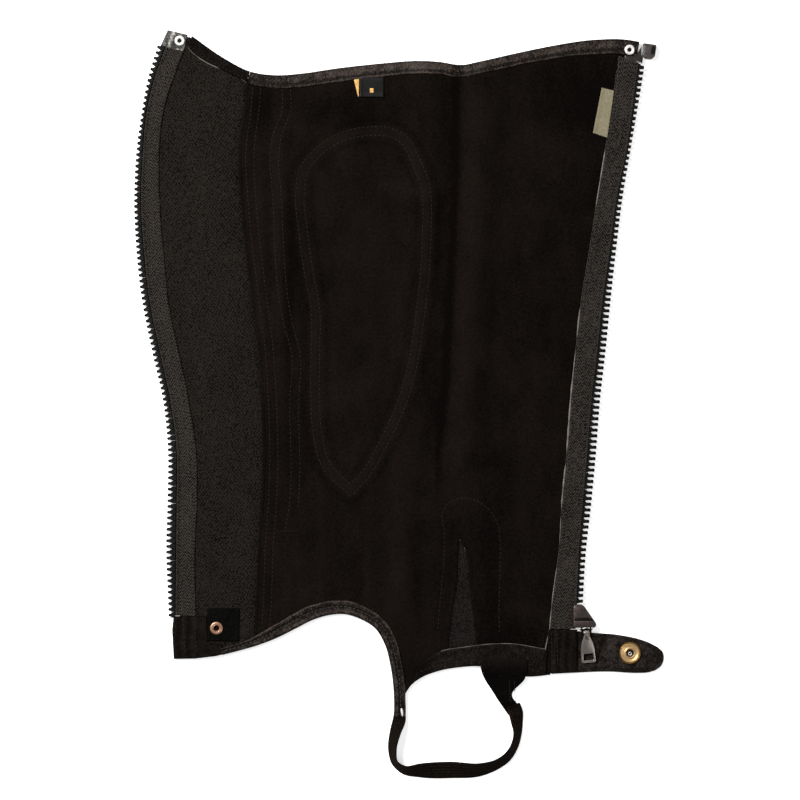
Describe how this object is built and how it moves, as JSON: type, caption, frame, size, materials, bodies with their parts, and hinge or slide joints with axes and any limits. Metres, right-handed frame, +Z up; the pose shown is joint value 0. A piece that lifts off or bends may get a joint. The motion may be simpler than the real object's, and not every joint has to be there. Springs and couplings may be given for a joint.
{
  "type": "half chap",
  "caption": "Half chap opened flat with its suede side up: leather and stretch panels, bound edges, separated zip with pull tab, snap strap and elastic stirrup.",
  "frame": {"origin": "middle of the laid-out half chap's box, on the surface it lies on", "axes": "+Z up out of the suede side, +Y from the stirrup to the top edge, +X from the stretch panel to the leather's zip edge"},
  "size_m": [0.3706, 0.5237, 0.0117],
  "materials": {
    "suede": "dark brown-black suede nap",
    "stretch_knit": "matt knitted elastic",
    "ribbed_elastic": "ribbed elastic",
    "bright_leather": "grained leather with a soft shine",
    "matt_binding": "matt woven binding",
    "woven_tape": "twill zip tape",
    "moulded_teeth": "moulded plastic teeth",
    "clear_film": "glossy grey film",
    "silver": "nickel plated",
    "brass": "aged brass",
    "gold": "polished gold plating",
    "patch": "matt backing cloth",
    "worn_leather": "soft matt leather",
    "strap_leather": "grained leather",
    "gunmetal": "dark plated zinc",
    "pull_metal": "plated zinc",
    "black_plastic": "moulded plastic",
    "elastic": "woven elastic webbing",
    "black_satin": "satin label",
    "gold_thread": "gold woven label",
    "tan_weave": "tan woven label"
  },
  "bodies": {
    "chap": {"main_panel": "suede", "stretch_panel": "stretch_knit", "ankle_gusset": "ribbed_elastic", "top_binding": "bright_leather", "top_binding_stretch": "matt_binding", "arch_binding": "bright_leather", "hem_facing": "bright_leather", "zip_tape_left": "woven_tape", "zip_tape_right": "woven_tape", "zip_chain_left": "moulded_teeth", "zip_chain_right": "moulded_teeth", "zip_end_left": "clear_film", "zip_end_right": "clear_film", "rivet_left": "silver", "rivet_right": "silver", "retainer_box": "black_plastic", "slider": "gunmetal", "bottom_tab_left": "worn_leather", "bottom_tab_right": "worn_leather", "snap_backing": "patch", "post_eyelet": "brass", "snap_strap": "strap_leather", "snap_socket": "gold", "stirrup_wing": "suede", "stirrup_elastic": "elastic", "size_label": "black_satin", "size_label_back": "gold_thread", "side_label": "tan_weave"},
    "pull": {"pull_tab": "pull_metal"}
  },
  "joints": [
    {"name": "pull_tab_swing", "type": "hinge", "parent": "chap", "child": "pull", "pos_m": [0.1309, -0.15925, 0.0074], "axis": [-0.9968, -0.0802, 0], "range_deg": [0, 165]}
  ]
}
